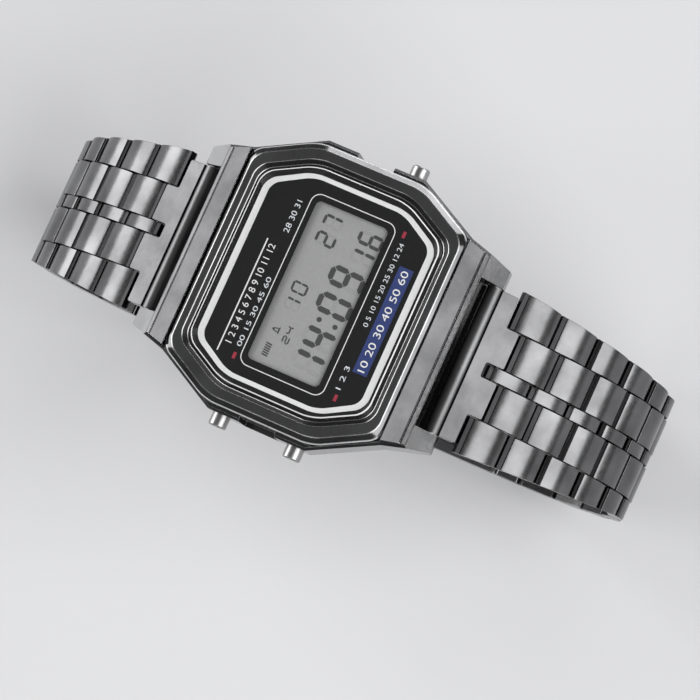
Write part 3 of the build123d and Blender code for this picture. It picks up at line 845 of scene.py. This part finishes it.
notch, tongue = plate_pin - end_face, plate_pin + end_round
plan = [
    (inter_in, notch - slot_extra), (inter_in, tongue), (inter_out, tongue), (inter_out, notch),
    (barrel_half, notch), (barrel_half, plate_start),
]
plan += [(-x, y) for x, y in reversed(plan)]
web = [(0, -under), (0, web_top), (web_end, web_top), (web_end, -under)]
fall = (plate_top - edge_top) / (tongue - plate_start)
for end, half_turn in ends:
    mesh = bmesh.new()
    add_plate(mesh, plan, -under, plate_top)
    for vert in mesh.verts:
        if vert.co.z > 0:
            vert.co.z -= fall * (vert.co.y - plate_start * mm)
    corners = [
        e for e in mesh.edges
        if abs(e.verts[0].co.z - e.verts[1].co.z) > mm and e.verts[0].co.y > mm
    ]
    round_over(mesh, corners, plate_round * mm, 3, False)
    soften(mesh, plate_edge * mm, 3)
    join(mesh, side_shape(web, -barrel_half, barrel_half))
    barrel = add_rod(mesh, barrel_radius, 2 * barrel_half, barrel_sides)
    # The barrel's faces take the lighter copy: painted light.
    for face in {face for vert in barrel for face in vert.link_faces}:
        face.material_index = rolled
    join(mesh, cross_pin(plate_pin))
    place = laid(pivot("end_link_12_swing"), pivot("link_12_01_swing"), half_turn)
    bmesh.ops.transform(mesh, verts=mesh.verts, matrix=place)
    plate = piece_from("end_plate_" + end, mesh, "end_link_" + end, plate_plating)
    plate.data.materials.append(lit_barrel_plating)
    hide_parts("end_link_" + end)


# Bracelet links: five pressed and polished pieces a row, two outer, two broad inner and a narrow
# centre one, the inner two set half a step on. Each is domed, with a low rib at its case end.
links_per_side = 10
pitch = 5.39
outer_first, outer_last, taper_links = 9.75, 7.65, 5
first_reach = 0.3
crown_top = 1.08
rib_length, rib_top = 0.58, 0.5
foot_along, foot_up = 0.42, 0.5
link_edge = 0.06 * mm
dome_steps = 12
tie = [(2.35, -0.35), (3.05, -0.35), (3.05, 0.35), (2.35, 0.35)]
tie_half = outer_in + 0.5
bracelet_plating = plating(
    "bracelet_plating", (0.10, 0.10, 0.102), (0.165, 0.165, 0.168), 0.16, 0.3, 2200.0, 0.03
)
near, ahead = (-end_round, pitch - end_face), (end_face, pitch + end_round)
wall_inset, groove_depth, steep = 0.15, 0.05, 0.5
polished, shadowed = 0, 1


def link_piece(x_in, x_out, start, end, trim=None):
    """One domed piece of a link, from start to end along the bracelet."""
    dome = start + rib_length
    profile = [
        (start, foot_up - under), (start + foot_along, -under),
        (end - foot_along, -under), (end, foot_up - under),
        (end, edge_top), (dome, edge_top), (dome, rib_top), (start, rib_top),
    ]
    mesh = side_shape(profile, x_in, x_out)
    top = [
        e for e in mesh.edges if all(abs(v.co.z - edge_top * mm) < 1e-7 for v in e.verts)
        and abs(e.verts[0].co.x - e.verts[1].co.x) < 1e-7
    ]
    bmesh.ops.subdivide_edges(mesh, edges=top, cuts=dome_steps - 1, use_grid_fill=True)
    for vert in mesh.verts:
        if vert.co.z > (rib_top + 0.01) * mm:
            share = (vert.co.y / mm - dome) / (end - dome)
            vert.co.z += (crown_top - edge_top) * mm * (1 - (2 * share - 1) ** 2)
        if trim and abs(vert.co.x - x_out * mm) < 1e-7:
            vert.co.x = trim(vert.co.y / mm) * mm
    soften(mesh, link_edge, 2)
    return mesh


def half_width(distance):
    """The bracelet's half width at a distance from its first pin, in millimetres."""
    return outer_first + (outer_last - outer_first) * min(distance / (taper_links * pitch), 1.0)


for end, half_turn in ends:
    for number in range(1, links_per_side + 1):
        mesh = bmesh.new()
        base = (number - 1) * pitch
        centre_start = near[0] - (first_reach if number == 1 else 0)
        join(mesh, link_piece(-centre_half, centre_half, centre_start, near[1]))
        join(mesh, link_piece(inter_in, inter_out, *ahead))
        join(mesh, link_piece(-inter_out, -inter_in, *ahead))
        w0, w1 = half_width(base + near[0]), half_width(base + near[1])
        for side in (1, -1):
            join(mesh, link_piece(
                side * outer_in, side * w0, *near,
                lambda y: side * (w0 + (w1 - w0) * (y - near[0]) / (near[1] - near[0])),
            ))
        join(mesh, side_shape(tie, -tie_half, tie_half))
        if end == "12" or number < links_per_side:
            join(mesh, cross_pin(pitch))
        # Walls between the pieces and the low faces beside their domes take the near-black
        # plating: painted shade.
        mesh.normal_update()
        for face in mesh.faces:
            middle = face.calc_center_median() / mm
            wall = abs(face.normal.z) < steep and abs(middle.x) < w1 - wall_inset
            groove = face.normal.z > steep and middle.z < edge_top - groove_depth
            face.material_index = shadowed if wall or groove else polished
        last = number == links_per_side
        here = pivot(f"link_12_{number:02d}_swing")
        there = pivot("clasp_swing" if last else f"link_12_{number + 1:02d}_swing")
        bmesh.ops.transform(mesh, verts=mesh.verts, matrix=laid(here, there, half_turn))
        name = f"{end}_{number:02d}"
        row = piece_from("row_" + name, mesh, "link_" + name, bracelet_plating)
        row.data.materials.append(painted_shade_plating)
        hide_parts("link_" + name)


# Clasp: a flat inner plate with knuckles for both bracelet ends, and a domed cover that folds over
# it on a pin. Both are brushed lengthways and plated like the links.
clasp_plating = plating(
    "clasp_brushed", (0.20, 0.20, 0.205), (0.28, 0.28, 0.285), 0.22, 0.38, 4200.0, 0.006,
    (1, 0.06, 1),
)
for node, edge in (("clasp_frame", 0.05), ("clasp_cover", 0.12)):
    mesh = merged_copy(node)
    soften(mesh, edge * mm, 2)
    piece = piece_from(node + "_plate", mesh, node, clasp_plating)
    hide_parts(node)
